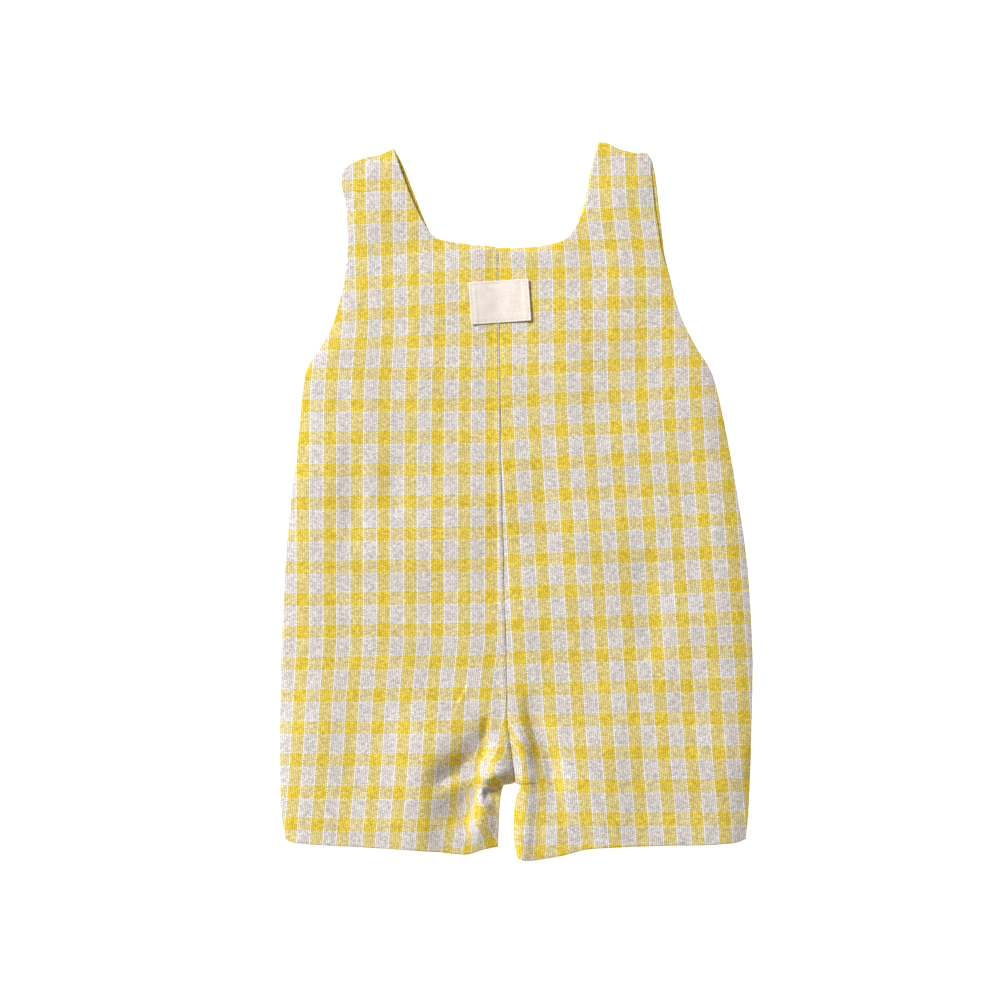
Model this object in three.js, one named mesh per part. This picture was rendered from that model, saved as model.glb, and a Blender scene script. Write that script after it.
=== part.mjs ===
/**
 * A baby's sleeveless short dungarees in woven gingham, laid flat on a surface with the back up.
 *
 * Units are millimetres. X runs across the garment, +Y from the leg hems to the shoulders and +Z up.
 * The origin is the middle of the outline, on the surface. The two front halves lie flat on the
 * surface, the two back halves lie on them and join them at the sides, inner legs and shoulders,
 * and a woven label is sewn across the back's centre seam.
 */
import * as THREE from 'three';
import { mergeVertices } from 'three/addons/utils/BufferGeometryUtils.js';

// Driving sizes.
const WALL = 1.2; // the cloth with its turned edges and seam allowances
const SEAM_GAP = 0.3; // kept between pieces where they are sewn together
const FRONT_TOP = WALL; // upper face of the front halves, which lie on the surface
const BACK_BASE = FRONT_TOP + SEAM_GAP; // lower face of the back halves where they touch the front
const EDGE_ROLL = 9; // distance over which the back rises from a sewn edge
const ROW_PITCH = 11; // longest step between two rows of a half
const BACK_COLUMNS = 14; // strips from the inner edge to the outer edge of a back half
const FRONT_COLUMNS = 5; // the flat front halves need only enough for their bowed hems
const COLUMN_CROWDING = 1.4; // above 1 puts narrower strips at the inner edge, where the folds are
const HEM_REACH = -195; // a fold that ends below this Y runs out through the leg hem
const FRONT_NECK_DROP = 10; // the front neckline lies this much lower than the back one
const LABEL = { width: 36, height: 25.3, x: -9.8, y: 119.3, tiltDegrees: 4, thickness: 1, cells: 8 };

/**
 * Sections of the half on the -X side, from the leg hem to the shoulder. Each runs from the inner
 * edge (inner leg, crotch, centre seam, neckline, strap) to the outer edge (side, armhole, strap).
 * innerLift and fill are the air under the back layer at the inner edge and inside the half, and
 * reveal is how far the front layer shows past the back one at the inner edge.
 */
const LEFT_SECTIONS = [
  { name: 'hem', innerX: -10.9, innerY: -207.1, outerX: -138.5, outerY: -203, innerLift: 0.2, fill: 4.6, reveal: 0 },
  { name: 'hem fold', innerX: -10.4, innerY: -193.7, outerX: -140.5, outerY: -191, innerLift: 0.2, fill: 4.7, reveal: 0 },
  { name: 'inner leg', innerX: -9.8, innerY: -181.3, outerX: -141.5, outerY: -178, innerLift: 0, fill: 4.8, reveal: 0 },
  { name: 'leg top', innerX: -7.2, innerY: -169.9, outerX: -141.7, outerY: -166, innerLift: 0, fill: 4.8, reveal: 0 },
  { name: 'crotch', innerX: -1.2, innerY: -168.4, outerX: -141.9, outerY: -158, innerLift: 0.3, fill: 4.7, reveal: 0 },
  { name: 'low rise', innerX: -2, innerY: -156.4, outerX: -142, outerY: -148, innerLift: 3.2, fill: 4.5, reveal: 0 },
  { name: 'mid rise', innerX: -3.5, innerY: -144.6, outerX: -142, outerY: -138, innerLift: 4, fill: 4.2, reveal: 0 },
  { name: 'high rise', innerX: -5.4, innerY: -133.3, outerX: -141.8, outerY: -126, innerLift: 3.4, fill: 3.7, reveal: 0 },
  { name: 'hip', innerX: -5.9, innerY: -101.5, outerX: -141.2, outerY: -98, innerLift: 2.7, fill: 3.1, reveal: 0 },
  { name: 'waist', innerX: -7.4, innerY: -47, outerX: -139, outerY: -45, innerLift: 2.4, fill: 2.8, reveal: 0 },
  { name: 'midriff', innerX: -8.6, innerY: 0, outerX: -135.2, outerY: 0, innerLift: 2.4, fill: 2.8, reveal: 0 },
  { name: 'ribs', innerX: -9.3, innerY: 27.7, outerX: -131.7, outerY: 27.7, innerLift: 2.4, fill: 2.8, reveal: 0 },
  { name: 'underarm', innerX: -9.9, innerY: 78, outerX: -126.2, outerY: 77.5, innerLift: 2.2, fill: 2.6, reveal: 0 },
  { name: 'armhole foot', innerX: -10.2, innerY: 105.2, outerX: -118, outerY: 91.2, innerLift: 1.8, fill: 2.4, reveal: 0 },
  { name: 'upper back', innerX: -10.8, innerY: 135, outerX: -110.2, outerY: 106, innerLift: 1, fill: 2, reveal: 0 },
  { name: 'neckline', innerX: -11.1, innerY: 151.7, outerX: -106.2, outerY: 119.5, innerLift: 0.3, fill: 1.8, reveal: 0 },
  { name: 'neck side', innerX: -28.7, innerY: 154, outerX: -103.6, outerY: 130.5, innerLift: 0.2, fill: 1.6, reveal: 0 },
  { name: 'neck corner', innerX: -47.5, innerY: 157.6, outerX: -102.1, outerY: 142, innerLift: 0.2, fill: 1.4, reveal: 0.6 },
  { name: 'strap foot', innerX: -55.5, innerY: 167, outerX: -101.4, outerY: 154, innerLift: 0.2, fill: 1.4, reveal: 1.4 },
  { name: 'strap', innerX: -64.8, innerY: 186.7, outerX: -102, outerY: 175, innerLift: 0.3, fill: 1.6, reveal: 1.8 },
  { name: 'strap end', innerX: -69.6, innerY: 200, outerX: -104.9, outerY: 190, innerLift: 0.3, fill: 1.6, reveal: 1.6 },
  { name: 'shoulder', innerX: -73.5, innerY: 211.6, outerX: -104.2, outerY: 198.4, innerLift: 0, fill: 0.8, reveal: 0 },
];

/** The same sections of the half on the +X side, whose strap stands straighter. */
const RIGHT_SECTIONS = [
  { name: 'hem', innerX: 0.8, innerY: -214.3, outerX: 137.5, outerY: -202.6, innerLift: 0.2, fill: 4.6, reveal: 0 },
  { name: 'hem fold', innerX: -1.6, innerY: -200, outerX: 138.8, outerY: -190, innerLift: 0.2, fill: 4.7, reveal: 0 },
  { name: 'inner leg', innerX: -1.4, innerY: -184.5, outerX: 139.6, outerY: -177, innerLift: 0, fill: 4.8, reveal: 0 },
  { name: 'leg top', innerX: 2.3, innerY: -169.6, outerX: 140.1, outerY: -165, innerLift: 0, fill: 4.8, reveal: 0 },
  { name: 'crotch', innerX: -1.2, innerY: -168.4, outerX: 140.4, outerY: -157, innerLift: 0.3, fill: 4.7, reveal: 0 },
  { name: 'low rise', innerX: -2, innerY: -156.4, outerX: 140.7, outerY: -147, innerLift: 3.2, fill: 4.5, reveal: 0 },
  { name: 'mid rise', innerX: -3.5, innerY: -144.6, outerX: 141, outerY: -137, innerLift: 4, fill: 4.2, reveal: 0 },
  { name: 'high rise', innerX: -5.4, innerY: -133.3, outerX: 141.2, outerY: -126, innerLift: 3.4, fill: 3.7, reveal: 0 },
  { name: 'hip', innerX: -5.9, innerY: -101.5, outerX: 141.7, outerY: -98, innerLift: 2.7, fill: 3.1, reveal: 0 },
  { name: 'waist', innerX: -7.4, innerY: -47, outerX: 139, outerY: -45, innerLift: 2.4, fill: 2.8, reveal: 0 },
  { name: 'midriff', innerX: -8.6, innerY: 0, outerX: 133, outerY: 0, innerLift: 2.4, fill: 2.8, reveal: 0 },
  { name: 'ribs', innerX: -9.3, innerY: 27.7, outerX: 128.3, outerY: 27.7, innerLift: 2.4, fill: 2.8, reveal: 0 },
  { name: 'underarm', innerX: -9.9, innerY: 78, outerX: 117.4, outerY: 76, innerLift: 2.2, fill: 2.6, reveal: 0 },
  { name: 'armhole foot', innerX: -10.2, innerY: 105.2, outerX: 108.4, outerY: 91.4, innerLift: 1.8, fill: 2.4, reveal: 0 },
  { name: 'upper back', innerX: -10.8, innerY: 135, outerX: 100.2, outerY: 107, innerLift: 1, fill: 2, reveal: 0 },
  { name: 'neckline', innerX: -11.1, innerY: 151.7, outerX: 95.9, outerY: 118.5, innerLift: 0.3, fill: 1.8, reveal: 0 },
  { name: 'neck side', innerX: 6.1, innerY: 152, outerX: 92.6, outerY: 132.6, innerLift: 0.2, fill: 1.6, reveal: 0 },
  { name: 'neck corner', innerX: 27, innerY: 156, outerX: 88.6, outerY: 150, innerLift: 0.2, fill: 1.4, reveal: 0.4 },
  { name: 'strap foot', innerX: 35.6, innerY: 165, outerX: 87.2, outerY: 163, innerLift: 0.2, fill: 1.4, reveal: 0.7 },
  { name: 'strap', innerX: 42, innerY: 181, outerX: 85.3, outerY: 178.5, innerLift: 0.3, fill: 1.6, reveal: 0.7 },
  { name: 'strap end', innerX: 45.4, innerY: 200, outerX: 83.4, outerY: 195, innerLift: 0.3, fill: 1.6, reveal: 0.5 },
  { name: 'shoulder', innerX: 49.2, innerY: 215.2, outerX: 81.2, outerY: 205, innerLift: 0, fill: 0.8, reveal: 0 },
];

/** Bows of the hem and shoulder edges off the straight line, at a fraction of it from the inner edge. */
const LEFT_ENDS = {
  hem: [{ at: 0.06, bow: -1.6 }, { at: 0.16, bow: -5 }, { at: 0.28, bow: -3.8 }, { at: 0.5, bow: -2.6 }, { at: 0.95, bow: -1.6 }],
  shoulder: [{ at: 0.2, bow: -0.5 }, { at: 0.55, bow: 1.6 }, { at: 0.85, bow: 1.9 }],
};
const RIGHT_ENDS = {
  hem: [{ at: 0.05, bow: -1.6 }, { at: 0.18, bow: -0.2 }, { at: 0.32, bow: 2.6 }, { at: 0.6, bow: 1 }, { at: 0.95, bow: -1.6 }],
  shoulder: [{ at: 0.12, bow: 1.2 }, { at: 0.45, bow: 0 }, { at: 0.7, bow: 0.6 }, { at: 0.9, bow: 2.6 }],
};

/** The largest folds of the back layer: soft ridges (height > 0) and troughs along a bent line. */
const FOLDS = [
  { name: 'left thigh trough', from: [-17, -128], via: [-46, -158], to: [-33, -206], height: -3.4, halfWidth: 6 },
  { name: 'left thigh ridge', from: [-14, -142], via: [-24, -166], to: [-27, -213], height: 2.6, halfWidth: 5.5 },
  { name: 'left outer ridge', from: [-34, -120], via: [-60, -160], to: [-48, -206], height: 1.4, halfWidth: 9 },
  { name: 'left crotch tuck', from: [-24, -157], via: [-12, -163], to: [-1, -160], height: 2, halfWidth: 6 },
  { name: 'right inner ridge', from: [0, -122], via: [9, -160], to: [4, -210], height: 2.8, halfWidth: 5 },
  { name: 'right thigh trough', from: [2, -112], via: [17, -148], to: [27, -198], height: -3, halfWidth: 5.5 },
  { name: 'right second ridge', from: [22, -146], via: [30, -172], to: [38, -206], height: 1.6, halfWidth: 7 },
  { name: 'left waist trough', from: [-97, 44], via: [-98, 4], to: [-96, -36], height: -0.9, halfWidth: 9 },
  { name: 'left rib trough', from: [-73, 30], via: [-74, 10], to: [-72, -12], height: -0.7, halfWidth: 8 },
  { name: 'right hip trough', from: [78, -20], via: [84, -60], to: [82, -104], height: -0.8, halfWidth: 10 },
];

const CLOTH = { color: 0xe6d285, roughness: 0.92, metalness: 0 };
const LABEL_TAPE = { color: 0xeee2d8, roughness: 0.85, metalness: 0 };

/** Smooth value between table rows: a cubic whose slopes never overshoot the rows. */
function monotoneCurve(knots, values) {
  const steps = knots.slice(1).map((knot, i) => knot - knots[i]);
  const rises = steps.map((step, i) => (values[i + 1] - values[i]) / step);
  const slopes = values.map((_, i) => {
    if (i === 0) return rises[0];
    if (i === values.length - 1) return rises[i - 1];
    const [before, after] = [rises[i - 1], rises[i]];
    if (before * after <= 0) return 0;
    const [near, far] = [2 * steps[i] + steps[i - 1], steps[i] + 2 * steps[i - 1]];
    return (near + far) / (near / before + far / after);
  });
  return (at) => {
    let i = 0;
    while (i < steps.length - 1 && at > knots[i + 1]) i += 1;
    const s = THREE.MathUtils.clamp((at - knots[i]) / steps[i], 0, 1);
    const [h00, h10] = [2 * s ** 3 - 3 * s ** 2 + 1, s ** 3 - 2 * s ** 2 + s];
    const [h01, h11] = [-2 * s ** 3 + 3 * s ** 2, s ** 3 - s ** 2];
    return h00 * values[i] + h01 * values[i + 1] + steps[i] * (h10 * slopes[i] + h11 * slopes[i + 1]);
  };
}

/** The bow of a hem or shoulder edge at a fraction from its inner end, zero at both ends. */
function edgeBow(points) {
  const knots = [0, ...points.map((point) => point.at), 1];
  const values = [0, ...points.map((point) => point.bow), 0];
  return monotoneCurve(knots, values);
}

/**
 * One half of the garment as rows of points in the plane, with the air under the back layer.
 * side is -1 or +1, and half the seam gap is left free at the shared centre seam.
 */
function halfRows(sections, ends, side, isFront, columns) {
  const knots = sections.map((_, i) => i);
  const curves = Object.fromEntries(
    ['innerX', 'innerY', 'outerX', 'outerY', 'innerLift', 'fill', 'reveal'].map((column) => [
      column, monotoneCurve(knots, sections.map((section) => section[column])),
    ]),
  );
  const crotch = sections.findIndex((section) => section.name === 'crotch');
  const neckline = sections.findIndex((section) => section.name === 'neckline');
  const [hemBow, shoulderBow] = [edgeBow(ends.hem), edgeBow(ends.shoulder)];
  const rows = [];
  const addRow = (at) => {
    const value = (column) => curves[column](at);
    const inner = new THREE.Vector2(value('innerX'), value('innerY'));
    const outer = new THREE.Vector2(value('outerX'), value('outerY'));
    if (at >= crotch && at <= neckline) inner.x += side * SEAM_GAP / 2;
    if (isFront) {
      inner.x -= side * value('reveal');
      const neckFade = THREE.MathUtils.smoothstep(at, neckline - 1, neckline)
        * (1 - THREE.MathUtils.smoothstep(at, neckline + 1, neckline + 4));
      inner.y -= FRONT_NECK_DROP * neckFade;
    }
    const width = inner.distanceTo(outer);
    const hemShare = Math.max(0, 1 - at / 2) ** 2;
    const shoulderShare = Math.max(0, 1 - (sections.length - 1 - at) / 2) ** 2;
    rows.push(Array.from({ length: columns + 1 }, (_, column) => {
      const u = (column / columns) ** COLUMN_CROWDING;
      const point = inner.clone().lerp(outer, u);
      point.y += hemBow(u) * hemShare + shoulderBow(u) * shoulderShare;
      const rise = (distance) => 1 - Math.exp(-distance / EDGE_ROLL);
      const innerLift = value('innerLift');
      const lift = rise((1 - u) * width) * (innerLift + (value('fill') - innerLift) * rise(u * width));
      return { x: point.x, y: point.y, lift };
    }));
  };
  for (let i = 0; i < sections.length - 1; i += 1) {
    const [low, high] = [sections[i], sections[i + 1]];
    const innerStep = Math.hypot(high.innerX - low.innerX, high.innerY - low.innerY);
    const outerStep = Math.hypot(high.outerX - low.outerX, high.outerY - low.outerY);
    const count = Math.max(1, Math.ceil(Math.max(innerStep, outerStep) / ROW_PITCH));
    for (let k = 0; k < count; k += 1) addRow(i + k / count);
  }
  addRow(sections.length - 1);
  return rows;
}

/** A fold's line as a short run of points, with its strength fading out at both ends. */
function foldLine(fold) {
  const curve = new THREE.QuadraticBezierCurve(
    new THREE.Vector2(...fold.from), new THREE.Vector2(...fold.via), new THREE.Vector2(...fold.to),
  );
  const steps = 24;
  return curve.getPoints(steps).map((point, i) => {
    const along = i / steps;
    const startFade = THREE.MathUtils.smoothstep(along, 0, 0.35);
    const endsAtHem = fold.to[1] < HEM_REACH;
    const endFade = endsAtHem ? 1 : 1 - THREE.MathUtils.smoothstep(along, 0.7, 1);
    return { point, strength: startFade * endFade };
  });
}

const FOLD_LINES = FOLDS.map((fold) => ({ ...fold, line: foldLine(fold) }));

/** Height added by all folds at a place: each is a bell curve of the distance to its line. */
function foldHeight(x, y) {
  return FOLD_LINES.reduce((sum, fold) => {
    const strongest = Math.max(...fold.line.map(({ point, strength }) => {
      const distance = Math.hypot(x - point.x, y - point.y) / fold.halfWidth;
      return strength * Math.exp(-(distance ** 2));
    }));
    return sum + fold.height * strongest;
  }, 0);
}

/** Lower face of the back layer at a point: on the front layer, lifted by air and folds. */
function backHeight({ x, y, lift }) {
  const freedom = Math.min(1, lift / 2); // sewn edges stay down
  const rise = lift + foldHeight(x, y) * freedom;
  return BACK_BASE + Math.max(0, rise);
}

/** Closes two grids of points, an upper and a lower one, into one walled solid. */
function wallFromGrids(upper, lower) {
  const [rowCount, columnCount] = [upper.length, upper[0].length];
  const positions = [];
  const quad = (a, b, c, d) => positions.push(...a, ...b, ...c, ...a, ...c, ...d);
  for (let r = 0; r < rowCount - 1; r += 1) {
    for (let c = 0; c < columnCount - 1; c += 1) {
      quad(upper[r][c], upper[r][c + 1], upper[r + 1][c + 1], upper[r + 1][c]);
      quad(lower[r][c], lower[r + 1][c], lower[r + 1][c + 1], lower[r][c + 1]);
    }
    const end = columnCount - 1;
    quad(upper[r][0], upper[r + 1][0], lower[r + 1][0], lower[r][0]);
    quad(upper[r + 1][end], upper[r][end], lower[r][end], lower[r + 1][end]);
  }
  for (let c = 0; c < columnCount - 1; c += 1) {
    const end = rowCount - 1;
    quad(upper[0][c + 1], upper[0][c], lower[0][c], lower[0][c + 1]);
    quad(upper[end][c], upper[end][c + 1], lower[end][c + 1], lower[end][c]);
  }
  const geometry = new THREE.BufferGeometry();
  geometry.setAttribute('position', new THREE.Float32BufferAttribute(positions, 3));
  const merged = mergeVertices(geometry, 1e-4);
  merged.computeVertexNormals();
  return merged;
}

/** Reverses the columns of rows that run towards -X, so that faces point out on both sides. */
function orderAcross(rows, side) {
  return side < 0 ? rows.map((row) => [...row].reverse()) : rows;
}

/** A back half: its rows, lifted by air and folds, and the same points one wall higher. */
function backPanel(rows, side) {
  const ordered = orderAcross(rows, side);
  const lower = ordered.map((row) => row.map((point) => [point.x, point.y, backHeight(point)]));
  const upper = lower.map((row) => row.map(([x, y, z]) => [x, y, z + WALL]));
  return wallFromGrids(upper, lower);
}

/** A front half: a flat wall on the surface with the garment's outline. */
function frontPanel(rows, side) {
  const ordered = orderAcross(rows, side);
  const atHeight = (z) => ordered.map((row) => row.map(({ x, y }) => [x, y, z]));
  return wallFromGrids(atHeight(FRONT_TOP), atHeight(0));
}

/** Height of the back's upper face at a place, read from the cell of its points that holds it. */
function backTopAt(halves, x, y) {
  const tolerance = 0.12; // reaches across the seam gap
  let top = 0;
  for (const rows of halves) {
    for (let r = 0; r < rows.length - 1; r += 1) {
      for (let c = 0; c < rows[r].length - 1; c += 1) {
        const cell = [rows[r][c], rows[r][c + 1], rows[r + 1][c + 1], rows[r + 1][c]];
        for (const corners of [[cell[0], cell[1], cell[2]], [cell[0], cell[2], cell[3]]]) {
          const [a, b, d] = corners.map((point) => new THREE.Vector3(point.x, point.y, 0));
          const share = THREE.Triangle.getBarycoord(new THREE.Vector3(x, y, 0), a, b, d, new THREE.Vector3());
          if (!share || Math.min(share.x, share.y, share.z) < -tolerance) continue;
          const heights = corners.map(backHeight);
          top = Math.max(top, heights[0] * share.x + heights[1] * share.y + heights[2] * share.z + WALL);
        }
      }
    }
  }
  return top;
}

/** The bare woven label: a tilted patch that follows the back's upper face, just above it. */
function labelPatch(halves) {
  const tilt = THREE.MathUtils.degToRad(LABEL.tiltDegrees);
  const steps = Array.from({ length: LABEL.cells + 1 }, (_, i) => i / LABEL.cells - 0.5);
  const lower = steps.map((down) => steps.map((across) => {
    const [dx, dy] = [across * LABEL.width, down * LABEL.height];
    const x = LABEL.x + dx * Math.cos(tilt) - dy * Math.sin(tilt);
    const y = LABEL.y + dx * Math.sin(tilt) + dy * Math.cos(tilt);
    return [x, y, backTopAt(halves, x, y) + SEAM_GAP];
  }));
  const upper = lower.map((row) => row.map(([x, y, z]) => [x, y, z + LABEL.thickness]));
  return wallFromGrids(upper, lower);
}

/** A named mesh with its own finish. */
function piece(name, geometry, finish) {
  const mesh = new THREE.Mesh(geometry, new THREE.MeshStandardMaterial(finish));
  mesh.name = name;
  return mesh;
}

const LEFT = { side: -1, sections: LEFT_SECTIONS, ends: LEFT_ENDS };
const RIGHT = { side: 1, sections: RIGHT_SECTIONS, ends: RIGHT_ENDS };
const backRows = ({ side, sections, ends }) => halfRows(sections, ends, side, false, BACK_COLUMNS);
const frontRows = ({ side, sections, ends }) => halfRows(sections, ends, side, true, FRONT_COLUMNS);
const backHalves = [backRows(LEFT), backRows(RIGHT)];

const dungarees = new THREE.Group();
dungarees.name = 'dungarees';
dungarees.add(
  piece('front_panel_left', frontPanel(frontRows(LEFT), LEFT.side), CLOTH),
  piece('front_panel_right', frontPanel(frontRows(RIGHT), RIGHT.side), CLOTH),
  piece('back_panel_left', backPanel(backHalves[0], LEFT.side), CLOTH),
  piece('back_panel_right', backPanel(backHalves[1], RIGHT.side), CLOTH),
  piece('label', labelPatch(backHalves), LABEL_TAPE),
);

export default dungarees;
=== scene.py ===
"""A baby's short dungarees in woven gingham, laid flat on a pale surface with the back up.

Sizes are millimetres and turn to metres where a mesh is made. X runs across the garment, Y from the
leg hems to the shoulders and Z up, with the origin on the surface under the middle of the outline.
Each half of the cloth is a grid of rows, from the hem to the shoulder, and columns, from the inner
edge (inner leg, crotch, centre seam, neckline, strap) to the outer edge (side, armhole, strap).
"""
import logging
import math
from dataclasses import dataclass
from enum import Enum

import bpy
import numpy as np
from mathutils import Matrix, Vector


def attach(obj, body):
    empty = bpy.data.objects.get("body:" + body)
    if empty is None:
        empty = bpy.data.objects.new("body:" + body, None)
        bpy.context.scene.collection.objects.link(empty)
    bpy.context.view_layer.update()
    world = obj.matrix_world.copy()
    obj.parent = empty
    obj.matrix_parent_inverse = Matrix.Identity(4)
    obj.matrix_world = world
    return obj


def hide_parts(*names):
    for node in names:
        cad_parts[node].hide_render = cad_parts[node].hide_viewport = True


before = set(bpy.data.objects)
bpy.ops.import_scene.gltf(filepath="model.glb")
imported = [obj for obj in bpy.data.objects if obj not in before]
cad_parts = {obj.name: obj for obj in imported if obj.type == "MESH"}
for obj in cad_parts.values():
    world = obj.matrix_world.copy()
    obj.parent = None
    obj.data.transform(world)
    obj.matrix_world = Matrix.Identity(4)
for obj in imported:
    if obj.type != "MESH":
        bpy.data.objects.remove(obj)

Array = np.ndarray
Piece = bpy.types.Object
Node = bpy.types.Node
Socket = bpy.types.NodeSocket
Material = bpy.types.Material
Group = bpy.types.NodeTree
Point = tuple[float, float]
Rgb = tuple[int, int, int]
Rgba = tuple[float, float, float, float]

LOG = logging.getLogger("dungarees")
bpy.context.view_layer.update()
METRE = 0.001  # metres in a millimetre
WARP_YARNS, WEFT_YARNS = 14.0, 24.0  # yarns drawn in one repeat of the check
BORDER_STEPS = np.array([0, 0.06, 0.18, 0.36, 0.62, 0.95])  # extra rows at a border, in edge radii
LABEL_STEPS = np.array([0, 0.05, 0.14, 0.28, 0.45])  # extra rows at the label's border
FOLD_RUNS = 24  # straight runs that a fold's line is cut into
FOLD_REACH = 3.2  # half widths from its line past which a fold is left out


class Side(Enum):
    """The half of the garment, by the direction of its outer edge along X."""

    LEFT = -1
    RIGHT = 1


class Layer(Enum):
    """The lower layer lies on the surface and the upper one lies on it."""

    FRONT = "front"
    BACK = "back"


# ---- tables of the cut


@dataclass(frozen=True)
class Section:
    """A section of a half between two edge points, with the air and rims of the layers there.

    lift is the air under the back at the inner edge, fill the air inside the half, and reveal and
    rim are how far the front shows past the back at the inner and at the outer edge.
    """

    name: str
    inner: Point
    outer: Point
    lift: float
    fill: float
    reveal: float = 0.0
    rim: float = 0.0


@dataclass(frozen=True)
class Bow:
    """How far an end edge bows off its straight line, at a share of it from the inner edge."""

    at: float
    offset: float


@dataclass(frozen=True)
class Fold:
    """A soft ridge (height above 0) or trough along a bent line from start to end.

    before and after are its half widths on the -X and +X sides of the line.
    """

    name: str
    start: Point
    via: Point
    end: Point
    height: float
    before: float
    after: float
    fade_in: float = 0.3
    fade_out: float = 0.3


@dataclass(frozen=True)
class ColumnGuide:
    """Where the yellow warp band nearest the centre seam runs at a height y, and the band pitch."""

    y: float
    first_x: float
    pitch: float


@dataclass(frozen=True)
class RowGuide:
    """Height of a numbered yellow weft band at the guide line, and its rise towards +X."""

    index: float
    y: float
    slope: float


@dataclass(frozen=True)
class CheckPin:
    """A point of the garment and the place on the cloth that the folds have brought to it.

    across counts warp bands towards +X and along counts weft bands down; halves are pale bands.
    """

    x: float
    y: float
    across: float
    along: float


@dataclass(frozen=True)
class Tuck:
    """Cloth hidden under an overhang: what is in sight below its line lies further on in the check.

    The line is level at y and comes in from open_x to full_x. across and along are the hidden
    repeats, which die away over the length fade below the line. The line itself is 2 blur wide.
    """

    y: float
    open_x: float
    full_x: float
    across: float
    along: float
    fade: float
    blur: float = 0.8

    def hidden(self, x: Array, y: Array) -> Array:
        """Works out how much cloth is hidden above each place.

        Args:
            x: places along X.
            y: places along Y, of the same shape.

        Returns:
            Repeats across and along, in that shape x 2.
        """
        below = self.y - y
        share = smoothstep(self.open_x, self.full_x, x) * smoothstep(-self.blur, self.blur, below)
        share = share * np.exp(-np.maximum(0, below) / self.fade)
        return share[..., None] * np.array([self.across, self.along])


LEFT_SECTIONS = (
    Section("hem", (-10.9, -207.1), (-138.5, -203), 0.2, 4.6),
    Section("hem fold", (-10.4, -193.7), (-140.5, -191), 0.2, 4.7),
    Section("inner leg", (-9.8, -181.3), (-141.5, -178), 0, 4.8),
    Section("leg top", (-7.2, -169.9), (-141.7, -166), 1, 4.8),
    Section("crotch", (-1.2, -168.4), (-141.9, -158), 2.4, 4.7),
    Section("low rise", (-2, -156.4), (-142, -148), 3.4, 4.5),
    Section("mid rise", (-3.5, -144.6), (-142, -138), 4, 4.2),
    Section("high rise", (-5.4, -133.3), (-141.8, -126), 3.4, 3.7),
    Section("hip", (-5.9, -101.5), (-141.2, -98), 2.7, 3.1),
    Section("waist", (-7.4, -47), (-139, -45), 2.4, 2.8),
    Section("midriff", (-8.6, 0), (-135.2, 0), 2.4, 2.8),
    Section("ribs", (-9.3, 27.7), (-131.7, 27.7), 2.4, 2.8),
    Section("underarm", (-9.9, 78), (-126.2, 77.5), 2.2, 2.6),
    Section("armhole foot", (-10.2, 105.2), (-118, 91.2), 1.8, 2.4),
    Section("upper back", (-10.8, 135), (-110.2, 106), 1, 2),
    Section("neckline", (-11.1, 151.7), (-106.2, 119.5), 0.3, 1.8),
    Section("neck side", (-28.7, 154), (-103.6, 130.5), 0.2, 1.6),
    Section("neck corner", (-47.5, 157.6), (-102.1, 142), 0.9, 1.4, 1.2),
    Section("strap foot", (-55.5, 167), (-101.4, 154), 1.6, 1.6, 2.2),
    Section("strap", (-64.8, 186.7), (-102, 175), 2, 1.8, 2.6),
    Section("strap end", (-69.6, 200), (-104.9, 190), 1.8, 1.8, 2.2),
    Section("shoulder", (-73.5, 211.6), (-104.2, 198.4), 0, 0.8),
)

RIGHT_SECTIONS = (
    Section("hem", (0.8, -214.3), (137.5, -202.6), 0.2, 4.6),
    Section("hem fold", (-1.6, -200), (138.8, -190), 0.2, 4.7),
    Section("inner leg", (-1.4, -184.5), (139.6, -177), 0.5, 4.8),
    Section("leg top", (2.3, -169.6), (140.1, -165), 1.5, 4.8),
    Section("crotch", (-1.2, -168.4), (140.4, -157), 1.6, 4.7),
    Section("low rise", (-2, -156.4), (140.7, -147), 2.9, 4.5),
    Section("mid rise", (-3.5, -144.6), (141, -137), 4, 4.2),
    Section("high rise", (-5.4, -133.3), (141.2, -126), 3.4, 3.7),
    Section("hip", (-5.9, -101.5), (141.7, -98), 2.7, 3.1),
    Section("waist", (-7.4, -47), (139, -45), 2.4, 2.8),
    Section("midriff", (-8.6, 0), (133, 0), 2.4, 2.8),
    Section("ribs", (-9.3, 27.7), (128.3, 27.7), 2.4, 2.8),
    Section("underarm", (-9.9, 78), (117.4, 76), 2.2, 2.6),
    Section("armhole foot", (-10.2, 105.2), (108.4, 91.4), 1.8, 2.4),
    Section("upper back", (-10.8, 135), (100.2, 107), 1, 2),
    Section("neckline", (-11.1, 151.7), (95.9, 118.5), 0.3, 1.8),
    Section("neck side", (6.1, 152), (92.6, 132.6), 0.2, 1.6),
    Section("neck corner", (27, 156), (88.6, 150), 0.2, 1.4, 0.4, 1.2),
    Section("strap foot", (35.6, 165), (87.2, 163), 0.2, 1.4, 0.7, 1.9),
    Section("strap", (42, 181), (85.3, 178.5), 0.3, 1.6, 0.7, 2.4),
    Section("strap end", (45.4, 200), (83.4, 195), 0.3, 1.6, 0.5, 2.2),
    Section("shoulder", (49.2, 215.2), (81.2, 205), 0, 0.8),
)

LEFT_HEM = (Bow(0.06, -1.6), Bow(0.16, -5), Bow(0.28, -3.8), Bow(0.5, -2.6), Bow(0.95, -1.6))
RIGHT_HEM = (Bow(0.05, -1.6), Bow(0.18, -0.2), Bow(0.32, 2.6), Bow(0.6, 1), Bow(0.95, -1.6))
LEFT_SHOULDER = (Bow(0.2, -0.5), Bow(0.55, 1.6), Bow(0.85, 1.9))
RIGHT_SHOULDER = (Bow(0.12, 1.2), Bow(0.45, 0), Bow(0.7, 0.6), Bow(0.9, 2.6))

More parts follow.
